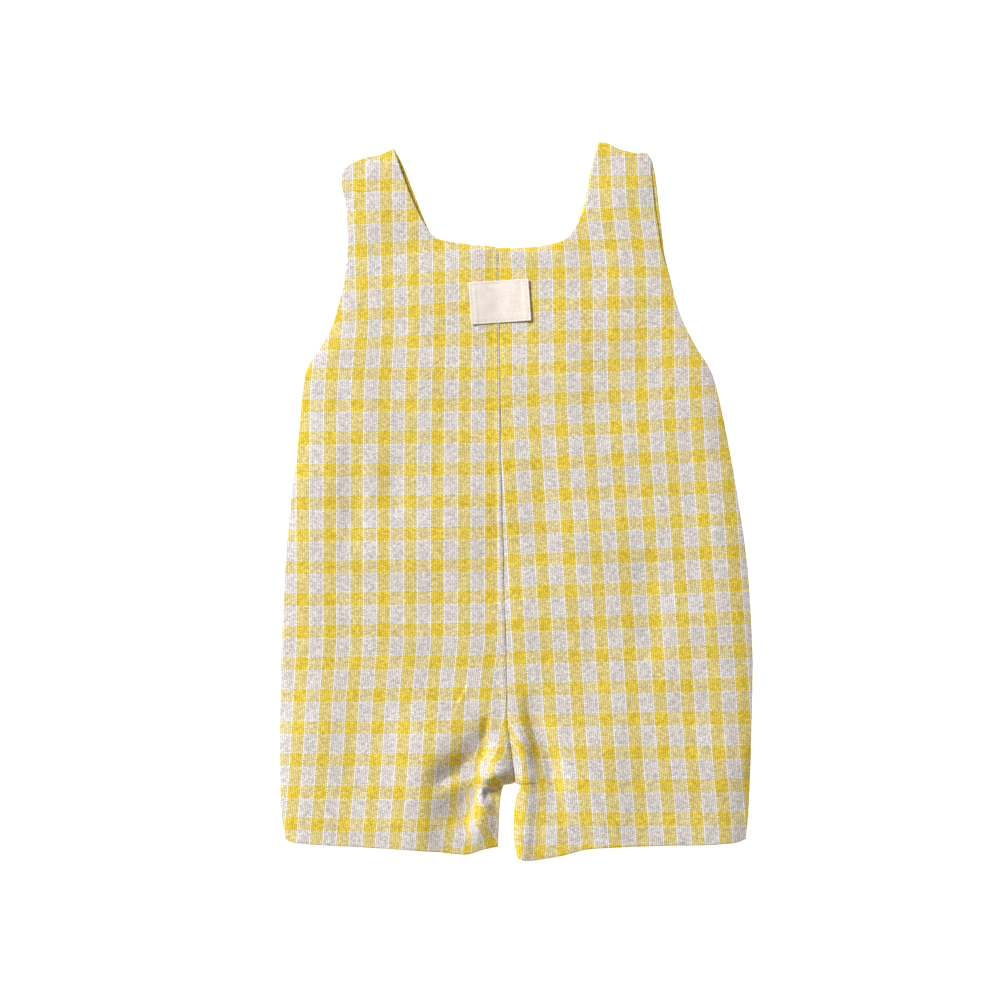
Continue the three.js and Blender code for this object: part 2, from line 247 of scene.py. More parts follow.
FOLDS = (
    Fold("left thigh swell", (-32, -122), (-58, -152), (-62, -210), 3.4, 30, 13, 0.4, 0),
    Fold("left thigh hollow", (-58, -172), (-39, -165), (-17, -154), -3.9, 5, 9, 0.4, 0.3),
    Fold("left thigh trough", (-15, -133), (-19, -156), (-34, -204), -5, 12, 4.5, 0.35, 0.25),
    Fold("left thigh ridge", (-10.5, -136), (-19, -155), (-24, -213), 2.4, 4.5, 7, 0.4, 0.2),
    Fold("left sharp tuck", (-17.2, -127), (-17.4, -138), (-18.5, -150), -2, 3.6, 1),
    Fold("left crotch roll", (-24, -164.6), (-13, -164), (-1, -161), 4.8, 3.2, 6.5, 0.3, 0.35),
    Fold("left crotch hollow", (-21, -173.6), (-13, -173.4), (-6, -172.6), -9, 4.2, 1.3, 0.2, 0.1),
    Fold("left inner hollow", (-11, -172), (-9, -178), (-10, -190), -3, 4, 5, 0.1, 0.6),
    Fold("crotch seam", (-5.2, -132), (-3.2, -150), (-1.4, -169), -2.4, 1.3, 1.3, 0.5, 0),
    Fold("left pinch", (-27, -107), (-31.5, -116), (-37.5, -128), 0.7, 0.8, 0.8),
    Fold("left pinch side", (-28.6, -107), (-33, -116), (-39, -128), -0.5, 1.6, 0.8),
    Fold("left waist trough", (-97, 44), (-98, 4), (-96, -36), -1.2, 8, 8),
    Fold("left rib trough", (-73, 30), (-74, 10), (-72, -12), -0.9, 7, 7),
    Fold("right inner ridge", (-3, -118), (9.5, -152), (2.3, -211), 3.2, 5, 6, 0.4, 0),
    Fold("right thigh trough", (1, -108), (21, -143), (28.5, -200), -4.8, 7.5, 6, 0.35, 0.45),
    Fold("right small ridge", (12, -136), (17, -150), (18, -172), 0.8, 2.5, 3),
    Fold("right outer swell", (34, -128), (50, -162), (52, -206), 1.5, 10, 16, 0.35, 0),
    Fold("right hip trough", (78, -20), (84, -60), (82, -104), -1, 10, 10),
)

LEFT_COLUMNS = tuple(ColumnGuide(*row) for row in (
    (205, -13.9, 16.0), (190, -14.1, 15.95), (152, -15.4, 15.5), (113, -15.1, 15.4), (94, -14.6, 15.7),
    (58, -14.8, 16.06), (0, -15, 16.1), (-77, -15, 16.08), (-115, -18.4, 15.85), (-154, -20.7, 15.82),
    (-194, -24, 15.8), (-212, -25.4, 15.8),
))
RIGHT_COLUMNS = tuple(ColumnGuide(*row) for row in (
    (211, -11.4, 16.0), (191, -11, 16.05), (171, -9.5, 16.0), (152.7, -7.4, 16.05), (136, -6.4, 16.1),
    (75.6, -6.2, 16.18), (-20, -1.8, 16.35), (-112, 3, 16.53), (-150, 5.5, 16.5), (-189, 8.4, 16.55),
    (-214, 10, 16.55),
))
LEFT_ROWS = tuple(RowGuide(*row) for row in (
    (-7, 207.6, 0), (-6, 188.9, 0.012), (-5, 169.8, 0.05), (-4, 150.2, 0.073), (-3, 130.3, 0.073),
    (-2, 111.8, 0.06), (-1, 94.4, 0.033), (0, 76.2, 0.005), (4, -0.8, 0.015), (8, -77.6, 0.016),
    (11, -135.3, 0.008), (14, -193.1, 0),
))
RIGHT_ROWS = tuple(RowGuide(*row) for row in (
    (-7, 210.5, 0), (-6, 190.5, 0.02), (-5, 170.5, 0.04), (-4, 153.2, 0.01), (-3, 136.5, 0.015),
    (-2, 117.8, 0.027), (-1, 98.2, 0.038), (0, 79.9, 0.05), (4, 3.8, 0.048), (7, -53.9, 0.035),
    (10, -112.2, 0.025), (11, -131, 0.012), (12, -150.3, 0), (14, -190, 0),
))
LEFT_PINS = tuple(CheckPin(*row) for row in (
    (-18.6, -133, 0, 11), (-13, -141.9, 0.5, 11.5), (-8.7, -141.9, 1, 11.5), (-36.6, -154.3, -1, 12),
    (-29, -154, -0.5, 12), (-20.5, -151.7, 0, 12), (-10, -150.4, 1, 12), (-4.4, -151.3, 1.5, 12),
    (-29.3, -162, -0.5, 12.5), (-22.9, -160.7, 0, 12.5), (-19.6, -160.5, 0.5, 12.5),
    (-15.4, -161.4, 1, 12.5), (-9.4, -160.1, 1.5, 12.5), (-17.7, -166.4, 0.5, 13),
    (-12.4, -167.6, 1, 13), (-5.7, -165.9, 1.5, 13), (-36.8, -172.4, -1, 13), (-38.5, -191.6, -1, 14),
    (-32, -182, -0.5, 13.5), (-29.7, -177.5, 0, 13.5), (-25, -176.5, 1, 13.5), (-19, -176.5, 1.5, 13.5),
    (-13.5, -177.5, 2, 13.5), (-29.5, -190, 0, 14), (-22.5, -185.5, 1, 14), (-15, -184.5, 1.5, 14),
    (-25, -197.9, 0.5, 14.5), (-20, -194.5, 1, 14.5), (-12.8, -194.5, 1.5, 14.5),
    (-15.1, -205.6, 1, 15), (-29.6, -210, 0, 15), (-41, -212, -1, 15),
))
RIGHT_PINS = tuple(CheckPin(*row) for row in (
    (22.8, -150.2, 1, 12), (11.8, -150, 0, 12), (3.2, -148.4, -1, 12), (38.6, -150, 2, 12),
    (40.2, -170, 2, 13), (25.6, -169.9, 1, 13), (15.6, -169.8, 0, 13), (5.6, -169.6, -1, 13),
    (41.7, -190, 2, 14), (27.3, -189.9, 1, 14), (15.3, -189.9, 0, 14), (2.3, -189.5, -1, 14),
    (28, -210, 1, 15.03), (14.1, -210, 0, 15.03), (0.9, -210, -1, 15.03), (4.7, -131.4, 0, 11),
    (1.8, -138.4, -0.5, 11.5), (20.6, -131.4, 1, 11), (-2.3, -138.9, -1, 11.5),
    (-1.6, -149.1, -1.45, 12), (4.8, -158.1, -1, 12.5), (0.5, -158.6, -1.5, 12.5),
    (0.5, -166.3, -1.5, 13), (13.6, -160, 0, 12.5), (15.6, -180, 0, 13.5), (4.4, -180, -1, 13.5),
    (1.2, -200, -1, 14.5), (14.9, -200, 0, 14.5), (24.6, -160, 1, 12.5), (26.5, -180, 1, 13.5),
))


LEFT_TUCK = Tuck(-170.6, -30, -23.5, 0.95, 0.1, 35)


@dataclass(frozen=True)
class Cut:
    """Everything that sets one half of the cloth: its outline and the lie of its checks.

    pin_reach is how far along X and Y a pin pulls, and guide_x is where the row guides are read.
    """

    side: Side
    sections: tuple[Section, ...]
    hem: tuple[Bow, ...]
    shoulder: tuple[Bow, ...]
    columns: tuple[ColumnGuide, ...]
    rows: tuple[RowGuide, ...]
    pins: tuple[CheckPin, ...]
    pin_reach: Point
    tuck: Tuck | None
    guide_x: float


LEFT_CUT = Cut(Side.LEFT, LEFT_SECTIONS, LEFT_HEM, LEFT_SHOULDER, LEFT_COLUMNS, LEFT_ROWS,
               LEFT_PINS, (8.5, 8.5), LEFT_TUCK, -91)
RIGHT_CUT = Cut(Side.RIGHT, RIGHT_SECTIONS, RIGHT_HEM, RIGHT_SHOULDER, RIGHT_COLUMNS, RIGHT_ROWS,
                RIGHT_PINS, (8, 12), None, 26)


# ---- numbers


def monotone(knots: Array, values: Array, at: Array) -> Array:
    """Piecewise cubic through table rows that never overshoots them.

    Each slope is the weighted harmonic mean of the rises on its two sides, or 0 at a turn, and the
    value is the cubic Hermite curve through the rows with those slopes.

    Args:
        knots: rising positions of the rows.
        values: the values in the rows.
        at: positions to evaluate.

    Returns:
        The values at those positions, held level outside the table.
    """
    knots, values = np.asarray(knots, float), np.asarray(values, float)
    step = np.diff(knots)
    rise = np.diff(values) / step
    slope = np.concatenate([rise[:1], np.zeros(len(knots) - 2), rise[-1:]])
    before, after = rise[:-1], rise[1:]
    near, far = 2 * step[1:] + step[:-1], step[1:] + 2 * step[:-1]
    same = before * after > 0
    safe_before, safe_after = np.where(same, before, 1), np.where(same, after, 1)
    mean = (near + far) / (near / safe_before + far / safe_after)
    slope[1:-1] = np.where(same, mean, 0)
    i = np.clip(np.searchsorted(knots, at, side="right") - 1, 0, len(step) - 1)
    s = np.clip((at - knots[i]) / step[i], 0, 1)
    h00, h10 = 2 * s**3 - 3 * s**2 + 1, s**3 - 2 * s**2 + s
    h01, h11 = -2 * s**3 + 3 * s**2, s**3 - s**2
    return h00 * values[i] + h01 * values[i + 1] + step[i] * (h10 * slope[i] + h11 * slope[i + 1])


def smoothstep(low: float, high: float, at: Array) -> Array:
    """Rises from 0 at low to 1 at high along 3s^2 - 2s^3."""
    s = np.clip((at - low) / (high - low), 0, 1)
    return s * s * (3 - 2 * s)


def bell(distance: Array, width: float | Array) -> Array:
    """Bell curve exp(-(distance / width)^2)."""
    return np.exp(-((distance / width) ** 2))


def round_edge(gap: Array, radius: float) -> Array:
    """Share of the full thickness at a distance from a border that ends in a quarter circle."""
    return np.sqrt(np.clip(1 - (1 - np.clip(gap / radius, 0, 1)) ** 2, 0, 1))


def bow(points: tuple[Bow, ...], at: Array) -> Array:
    """Offset of an end edge at shares of its length, 0 at both ends."""
    knots = [0, *(p.at for p in points), 1]
    return monotone(knots, [0, *(p.offset for p in points), 0], at)


def place_on_line(line: Array, x: Array, y: Array) -> tuple[Array, Array, Array, Array]:
    """Finds the nearest place on a line of short straight runs.

    Args:
        line: K x 2 points.
        x: N places along X.
        y: N places along Y.

    Returns:
        The distance to the line, the share of its runs passed there, and the offsets in X and Y.
    """
    run = np.diff(line, axis=0)
    away_x, away_y = x[:, None] - line[:-1, 0], y[:, None] - line[:-1, 1]
    along = np.clip((away_x * run[:, 0] + away_y * run[:, 1]) / (run**2).sum(1), 0, 1)
    off_x, off_y = away_x - along * run[:, 0], away_y - along * run[:, 1]
    distance = np.hypot(off_x, off_y)
    nearest = distance.argmin(1)
    pick = (np.arange(len(nearest)), nearest)
    return distance[pick], (nearest + along[pick]) / len(run), off_x[pick], off_y[pick]


def fold_height(x: Array, y: Array) -> Array:
    """Sum of all folds: each is its height times a bell curve of the distance to its line.

    The line is a quadratic curve cut into short straight runs. A point takes the half width of the
    side it is on and the strength at its place along the line.

    Args:
        x: places along X.
        y: places along Y, of the same shape.

    Returns:
        Heights in that shape.
    """
    total = np.zeros_like(x)
    s = np.linspace(0, 1, FOLD_RUNS + 1)[:, None]
    for fold in FOLDS:
        start, via, end = (np.array(p) for p in (fold.start, fold.via, fold.end))
        line = (1 - s) ** 2 * start + 2 * s * (1 - s) * via + s**2 * end
        reach = FOLD_REACH * max(fold.before, fold.after)
        low, high = line.min(0) - reach, line.max(0) + reach
        near = (x > low[0]) & (x < high[0]) & (y > low[1]) & (y < high[1])
        if not near.any():
            continue
        distance, place, off_x, off_y = place_on_line(line, x[near], y[near])
        lies_across = abs(end[0] - start[0]) > abs(end[1] - start[1])
        width = np.where((off_y if lies_across else off_x) < 0, fold.before, fold.after)
        strength = smoothstep(0, fold.fade_in, place)
        if fold.fade_out > 0:
            strength = strength * (1 - smoothstep(1 - fold.fade_out, 1, place))
        total[near] += fold.height * strength * bell(distance, width)
    return total


@dataclass(frozen=True)
class Ripples:
    """Gentle waves: sine waves of random direction, length and phase, with their seed and number."""

    height: float
    seed: int
    wavelengths: Point
    count: int

    def at(self, x: Array, y: Array) -> Array:
        """Sums the waves over the root of their number.

        Args:
            x: places along X.
            y: places along Y, of the same shape.

        Returns:
            Heights in that shape, about -height to height.
        """
        draw = np.random.default_rng(self.seed)
        angle = draw.uniform(0, math.pi, self.count)
        wave = draw.uniform(*self.wavelengths, self.count)
        phase = draw.uniform(0, math.tau, self.count)
        waves = [np.sin(math.tau * (x * math.cos(a) + y * math.sin(a)) / w + p)
                 for a, w, p in zip(angle, wave, phase)]
        return self.height * (sum(waves) / math.sqrt(self.count))


@dataclass(frozen=True)
class Pucker:
    """A sine wave along a seam; its phase wanders by wander radians over wander_length."""

    height: float
    wavelength: float
    wander: float
    wander_length: float

    def at(self, along: Array) -> Array:
        """Height at places along the seam."""
        phase = self.wander * np.sin(along / self.wander_length)
        return self.height * np.sin(math.tau * along / self.wavelength + phase)


CLOTH_RIPPLES = (Ripples(0.42, 5, (26, 84), 14), Ripples(0.06, 9, (5, 13), 18))
LABEL_RIPPLES = Ripples(0.07, 21, (7, 22), 10)
HEM_PUCKER = Pucker(0.07, 6.3, 2.2, 17)
SEAM_PUCKER = Pucker(0.05, 8.1, 1.7, 23)


# ---- meshes


def new_piece(name: str, points: Array, faces: Array, maps: dict[str, Array] | None = None) -> Piece:
    """Makes a smooth mesh object at the origin from points in millimetres.

    Args:
        name: the piece's name.
        points: N x 3 places.
        faces: M x 4 point numbers, each face turning anticlockwise seen from outside.
        maps: UV maps by name, each N x 2: checks in repeats of the check and yarns in yarn counts.

    Returns:
        The object, linked to the scene.
    """
    mesh = bpy.data.meshes.new(name)
    mesh.from_pydata(points * METRE, [], faces)
    mesh.polygons.foreach_set("use_smooth", np.ones(len(mesh.polygons), bool))
    corner_points = np.empty(len(mesh.loops), np.int32)
    mesh.loops.foreach_get("vertex_index", corner_points)
    for label, uv in (maps or {}).items():
        layer = mesh.uv_layers.new(name=label)
        layer.data.foreach_set("uv", uv[corner_points].astype(np.float32).ravel())
    mesh.update()
    return link(bpy.data.objects.new(name, mesh))


def link(item: Piece) -> Piece:
    """Adds an object to the scene and hands it back."""
    bpy.context.scene.collection.objects.link(item)
    return item


def grid_normals(middle: Array, side: int) -> Array:
    """Unit normals of a grid surface: the cross product of its steps along columns and rows.

    Args:
        middle: rows x columns x 3 points.
        side: +1 where columns run towards +X, otherwise -1.

    Returns:
        Normals that point up, in the same shape.
    """
    across, along = np.gradient(middle, axis=1), np.gradient(middle, axis=0)
    normal = np.cross(across, along) * side
    return normal / np.linalg.norm(normal, axis=2, keepdims=True)


def shell(middle: Array, above: Array, below: Array, side: int) -> tuple[Array, Array, Array]:
    """Closes a grid surface into a thin shell with its border points shared by both faces.

    The upper face is the middle moved out along its normal by above and the lower face is moved the
    other way by below. Both are 0 at the border, so the two faces meet there.

    Args:
        middle: rows x columns x 3 points.
        above: half wall over the middle.
        below: half wall under the middle.
        side: +1 where columns run towards +X, otherwise -1.

    Returns:
        Points, quads and, for each point, the number of the grid point it comes from.
    """
    rows, columns = middle.shape[:2]
    normal = grid_normals(middle, side)
    upper = (middle + normal * above[..., None]).reshape(-1, 3)
    lower = (middle - normal * below[..., None])[1:-1, 1:-1].reshape(-1, 3)
    top = np.arange(rows * columns).reshape(rows, columns)
    bottom = top.copy()
    bottom[1:-1, 1:-1] = rows * columns + np.arange(len(lower)).reshape(rows - 2, -1)

    def quads(index: Array, turn: int) -> Array:
        """Quads between neighbouring grid points, turned over where turn is negative."""
        corners = [index[:-1, :-1], index[:-1, 1:], index[1:, 1:], index[1:, :-1]]
        return np.stack(corners[::turn], axis=-1).reshape(-1, 4)

    faces = np.concatenate([quads(top, side), quads(bottom, -side)])
    source = np.concatenate([top.ravel(), top[1:-1, 1:-1].ravel()])
    return np.concatenate([upper, lower]), faces, source


# ---- cloth


@dataclass
class HalfCloth:
    """One half of one layer: its grid in the plane, the lie of its checks and its height.

    The grid has columns columns, drawn to the inner edge by the power crowding. The hem is a ply
    hem_depth deep with its stitches hem_inset inside it, and the left half's pressed seam allowance
    is another. Air below free_air holds the folds down. The half wall is rounded off at each border
    over edge_radius, and over seam_radius at the centre seam, which sinks by seam_sink.
    """

    cut: Cut
    layer: Layer
    row_pitch: float = 1.7
    columns: int = 118
    crowding: float = 1.12
    wall: float = 1.0
    layer_gap: float = 0.06
    edge_radius: float = 0.9
    edge_roll: float = 9.0
    free_air: float = 1.6
    softness: float = 0.12
    settle: float = 0.2
    hem_depth: float = 17.5
    hem_ply: float = 0.32
    hem_inset: float = 1.2
    stitch_sink: float = 0.16
    seam_radius: float = 0.35
    seam_gap: float = 0.3
    seam_sink: float = 0.5
    allowance: float = 2.6
    allowance_ply: float = 0.4
    front_neck_drop: float = 10.0
    front_relief: float = 0.6
    turned_edge: float = 5.0
    turned_band: float = 18.0
    weft_pitch: float = 19.3
    pin_slack: float = 0.08

    def __post_init__(self) -> None:
        """Works out the grid, the heights and the place of each point on the flat cloth."""
        self.side = self.cut.side.value
        names = [s.name for s in self.cut.sections]
        self.crotch, self.neckline = names.index("crotch"), names.index("neckline")
        self._lay_out_plane()
        self._raise_surface()
        self._place_checks()

    def _row_places(self, inner: Array, outer: Array) -> Array:
        """Spreads rows at row_pitch or less, with extra rows close to the hem and the shoulder.

        Args:
            inner: inner edge points of the sections.
            outer: outer edge points of the sections.

        Returns:
            The rows' rising places in the section table, from 0 at the hem.
        """
        last = len(inner) - 1
        longest = np.maximum(*(np.linalg.norm(np.diff(ends, axis=0), axis=1) for ends in (inner, outer)))
        counts = np.maximum(1, np.ceil(longest / self.row_pitch).astype(int))
        regular = np.concatenate([i + np.arange(n) / n for i, n in enumerate(counts)] + [[last]])
        edge = BORDER_STEPS * self.edge_radius
        near_hem, near_top = edge / longest[0], last - edge / longest[-1]
        clear = 1.5 * edge[-1]
        kept = (regular > clear / longest[0]) & (regular < last - clear / longest[-1])
        return np.unique(np.concatenate([regular[kept], near_hem, near_top]))

    def _lay_out_plane(self) -> None:
        """Rows between paired edge points, with extra columns close to both edges."""
        sections = self.cut.sections
        last = len(sections) - 1
        inner, outer = (np.array([getattr(s, end) for s in sections], float) for end in ("inner", "outer"))
        at = self._row_places(inner, outer)

        def column(values: list[float]) -> Array:
            """A table column along the rows, as a column vector."""
            return monotone(np.arange(last + 1), np.array(values, float), at)[:, None]

        inner_x, inner_y = column(inner[:, 0]), column(inner[:, 1])
        outer_x, outer_y = column(outer[:, 0]), column(outer[:, 1])
        reveal, rim = column([s.reveal for s in sections]), column([s.rim for s in sections])
        self.lift_edge, self.fill = column([s.lift for s in sections]), column([s.fill for s in sections])
        at = at[:, None]
        sewn_centre = (at >= self.crotch) & (at <= self.neckline)
        gap = self.seam_gap if self.layer is Layer.BACK else self.seam_gap / 3
        inner_x = inner_x + np.where(sewn_centre, self.side * gap / 2, 0)
        if self.layer is Layer.FRONT:
            inner_x = inner_x - self.side * reveal
            drop = smoothstep(self.neckline - 1, self.neckline, at)
            drop = drop * (1 - smoothstep(self.neckline + 1, self.neckline + 4, at))
            inner_y = inner_y - self.front_neck_drop * drop
        else:
            outer_x = outer_x - self.side * rim
        edge = BORDER_STEPS * self.edge_radius
        width = np.hypot(outer_x - inner_x, outer_y - inner_y)
        share = np.linspace(0, 1, self.columns + 2)[1:-1] ** self.crowding
        self.inner_gap = np.concatenate([
            np.broadcast_to(edge, (len(at), len(edge))),
            edge[-1] + (width - 2 * edge[-1]) * share,
            width - edge[::-1],
        ], axis=1)
        self.outer_gap = width - self.inner_gap
        u = self.inner_gap / width
        self.x = inner_x + (outer_x - inner_x) * u
        self.y = inner_y + (outer_y - inner_y) * u
        self.y = self.y + bow(self.cut.hem, u) * np.clip(1 - at / 2, 0, 1) ** 2
        self.y = self.y + bow(self.cut.shoulder, u) * np.clip(1 - (last - at) / 2, 0, 1) ** 2
        step = np.hypot(np.diff(self.x, axis=0), np.diff(self.y, axis=0))
        climb = np.concatenate([np.zeros((1, self.x.shape[1])), np.cumsum(step, axis=0)])
        self.hem_gap, self.top_gap = climb, climb[-1] - climb
        self.at = np.broadcast_to(at, self.x.shape)

    def _sewn_relief(self, at_centre: Array) -> Array:
        """Cloth that sewing adds above the surface: plies, sunk stitches and small puckers.

        Args:
            at_centre: 1 along the centre seam's rows and 0 away from them.

        Returns:
            Heights over the plain wall, negative where stitches sink.
        """
        hem = 1 - smoothstep(self.hem_depth - 0.6, self.hem_depth + 0.9, self.hem_gap)
        stitched = bell(self.hem_gap - self.hem_depth + self.hem_inset, 0.8)
        relief = self.hem_ply * hem - self.stitch_sink * stitched
        relief = relief + HEM_PUCKER.at(self.x) * bell(self.hem_gap - 15, 5)
        relief = relief + SEAM_PUCKER.at(self.y) * np.exp(-self.inner_gap / 6) * at_centre
        if self.cut.side is Side.LEFT:
            pressed = 1 - smoothstep(self.allowance - 0.5, self.allowance + 0.5, self.inner_gap)
            relief = relief + self.allowance_ply * pressed * at_centre
        return relief

    def _lifted(self, at_centre: Array) -> Array:
        """Height of the back over its rest on the front.

        Air grows from a sewn edge as 1 - exp(-distance / roll), and folds and ripples act where
        there is air. (h + sqrt(h^2 + softness)) / 2 keeps the height h above 0 without a crease.

        Args:
            at_centre: 1 along the centre seam's rows and 0 away from them.

        Returns:
            Heights in the grid's shape.
        """
        rise = 1 - np.exp(-np.stack([self.outer_gap, self.inner_gap]) / self.edge_roll)
        air = rise[0] * (self.lift_edge + (self.fill - self.lift_edge) * rise[1])
        waves = fold_height(self.x, self.y) + sum(r.at(self.x, self.y) for r in CLOTH_RIPPLES)
        lifted = air + waves * np.minimum(1, air / self.free_air)
        lifted = 0.5 * (lifted + np.sqrt(lifted**2 + self.softness))
        return lifted - self.seam_sink * at_centre * np.exp(-self.inner_gap / 0.5)

    def _raise_surface(self) -> None:
        """Middle surface and half walls: the front lies on the floor and the back on the front."""
        at_centre = smoothstep(self.crotch - 0.3, self.crotch + 0.4, self.at)
        at_centre = at_centre * (1 - smoothstep(self.neckline - 0.2, self.neckline, self.at))
        inner_radius = self.edge_radius + (self.seam_radius - self.edge_radius) * at_centre
        gap = np.minimum.reduce([self.inner_gap * self.edge_radius / inner_radius,
                                 self.outer_gap, self.hem_gap, self.top_gap])
        round_off = round_edge(gap, self.edge_radius)
        relief = self._sewn_relief(at_centre)
        half = self.wall / 2
        if self.layer is Layer.FRONT:
            relief = np.maximum(relief, -0.1) * self.front_relief
            z = np.full_like(self.x, half)
        else:
            z = self.wall + self.layer_gap + half + self._lifted(at_centre) - self.settle
        self.above, self.below = (half + relief) * round_off, half * round_off
        self.middle = np.stack([self.x, self.y, z], axis=-1)

    def _hanging_checks(self, x: Array, y: Array) -> Array:
        """Finds the place on the cloth of points where it hangs free, in repeats of the check.

        Across, the distance from the first warp band over the band pitch. Along, the number of weft
        bands passed, after the bands' slope is taken off. Below the tuck the hidden part is added.

        Args:
            x: places along X.
            y: places along Y, of the same shape.

        Returns:
            Repeats across and along, in that shape x 2.
        """
        guides = sorted(self.cut.columns, key=lambda g: g.y)
        heights = [g.y for g in guides]
        first = monotone(heights, [g.first_x for g in guides], y)
        across = (x - first) / monotone(heights, [g.pitch for g in guides], y)
        rows = sorted(self.cut.rows, key=lambda g: g.y)
        heights = [g.y for g in rows]
        level = y - monotone(heights, [g.slope for g in rows], y) * (x - self.cut.guide_x)
        along = monotone(heights, [g.index for g in rows], level)
        past = np.maximum(0, rows[0].y - level) - np.maximum(0, level - rows[-1].y)
        checks = np.stack([across, along + past / self.weft_pitch], axis=-1)
        if self.cut.tuck:
            checks = checks + self.cut.tuck.hidden(x, y)
        return checks

    def _place_checks(self) -> None:
        """Place of each grid point on the cloth: the hanging checks, shifted to meet the pins.

        The shift is a sum of bell curves round the pins, with weights that make it right at each.
        The front's turned-in strap edge is cut along a warp band, and so follows that edge.
        """
        self.checks = self._hanging_checks(self.x, self.y)
        self.yarns = self.checks * np.array([WARP_YARNS, WEFT_YARNS])
        pins = np.array([(p.x, p.y) for p in self.cut.pins])
        wanted = np.array([(p.across, p.along) for p in self.cut.pins])

        def bells(x: Array, y: Array) -> Array:
            """Bell curve of the distance from each point to each pin."""
            away = (np.stack([x, y], axis=-1)[..., None, :] - pins) / self.cut.pin_reach
            return np.exp(-(away**2).sum(-1))

        off = wanted - self._hanging_checks(*pins.T)
        weights = np.linalg.solve(bells(*pins.T) + self.pin_slack * np.eye(len(pins)), off)
        self.checks = self.checks + bells(self.x, self.y) @ weights
        if self.layer is Layer.FRONT:
            turned_in = (self.inner_gap < self.turned_edge) & (self.at > self.neckline + 1)
            across = (self.inner_gap - 2.2) / self.turned_band
            band = np.stack([across, np.zeros_like(across)], axis=-1)
            self.checks = np.where(turned_in[..., None], band, self.checks)

    def upper_points(self) -> Array:
        """Points of the upper face, rows x columns x 3."""
        return self.middle + grid_normals(self.middle, self.side) * self.above[..., None]

    def area(self) -> float:
        """Area of the middle surface, in square metres."""
        across, along = np.diff(self.middle, axis=1)[:-1], np.diff(self.middle, axis=0)[:, :-1]
        return float(np.linalg.norm(np.cross(across, along), axis=2).sum() * METRE**2)

    def build(self, name: str) -> Piece:
        """Makes the half's closed shell.

        Args:
            name: the piece's name.

        Returns:
            The piece, with both UV maps.
        """
        points, faces, source = shell(self.middle, self.above, self.below, self.side)
        maps = {"checks": self.checks, "yarns": self.yarns}
        return new_piece(name, points, faces, {k: uv.reshape(-1, 2)[source] for k, uv in maps.items()})

    def line_at(self, gap: Array, depth: float, axis: int) -> Array:
        """Draws a line on the upper face at a fixed distance from an edge.

        Args:
            gap: distance of each grid point from that edge.
            depth: the wanted distance.
            axis: 0 where the distance grows along rows, 1 where it grows along columns.

        Returns:
            N x 3 points, one for each column or row.
        """
        surface = self.upper_points()
        if axis == 1:
            gap, surface = gap.T, surface.transpose(1, 0, 2)
        index = np.clip((gap < depth).sum(0), 1, len(gap) - 1)
        lane = np.arange(gap.shape[1])
        low, high = gap[index - 1, lane], gap[index, lane]
        share = ((depth - low) / (high - low))[:, None]
        return surface[index - 1, lane] * (1 - share) + surface[index, lane] * share


# ---- sewing


@dataclass
class StitchRow:
    """A row of lockstitches: short rounded threads laid along a line on the cloth."""

    line: Array
    length: float = 2.5
    spacing: float = 3.2
    thickness: float = 0.34
    sink: float = 0.06

    def build(self) -> tuple[Array, Array]:
        """Works out all stitches.

        A stitch is a capsule: at share s of its length its radius is that of a rounded bar,
        sqrt(1 - (2s - 1)^4), and its middle rises in the same way above its sunk ends.

        Returns:
            Points and quads.
        """
        step = np.linalg.norm(np.diff(self.line, axis=0), axis=1)
        travel = np.concatenate([[0], np.cumsum(step)])
        centres = np.arange(self.spacing, travel[-1] - self.spacing, self.spacing)
        s = np.linspace(0, 1, 7)
        where = centres[:, None] + (s - 0.5) * self.length
        spine = np.stack([np.interp(where, travel, self.line[:, k]) for k in range(3)], axis=-1)
        along = np.gradient(spine, axis=1)
        along /= np.linalg.norm(along, axis=2, keepdims=True)
        up = np.array([0, 0, 1.0])
        beside = np.cross(along, up)
        beside /= np.linalg.norm(beside, axis=2, keepdims=True)
        shape = np.sqrt(np.clip(1 - (2 * s - 1) ** 4, 0, 1))
        spine = spine + up * ((shape * self.thickness / 2 - self.sink)[None, :, None])
        angle = np.arange(6) * math.tau / 6
        radius = (self.thickness / 2 * np.maximum(shape, 0.12))[None, :, None, None]
        ring = beside[:, :, None] * np.cos(angle)[:, None] + up * np.sin(angle)[:, None]
        points = (spine[:, :, None] + ring * radius).reshape(-1, 3)
        count, rings, sides = len(centres), len(s), len(angle)
        index = np.arange(count * rings * sides).reshape(count, rings, sides)
        after = np.roll(index, -1, axis=2)
        walls = np.stack([index[:, :-1], after[:, :-1], after[:, 1:], index[:, 1:]], axis=-1).reshape(-1, 4)
        caps = [index[:, 0, ::-1], index[:, -1]]
        ends = [cap[:, corners] for corners in ((0, 1, 2, 3), (0, 3, 4, 5)) for cap in caps]
        return points, np.concatenate([walls, *ends])


def sew(name: str, rows: list[StitchRow]) -> Piece:
    """Joins rows of stitches into one piece.

    Args:
        name: the piece's name.
        rows: the rows.

    Returns:
        The piece.
    """
    points, faces, start = [], [], 0
    for row in rows:
        p, f = row.build()
        points.append(p)
        faces.append(f + start)
        start += len(p)
    return new_piece(name, np.concatenate(points), np.concatenate(faces))


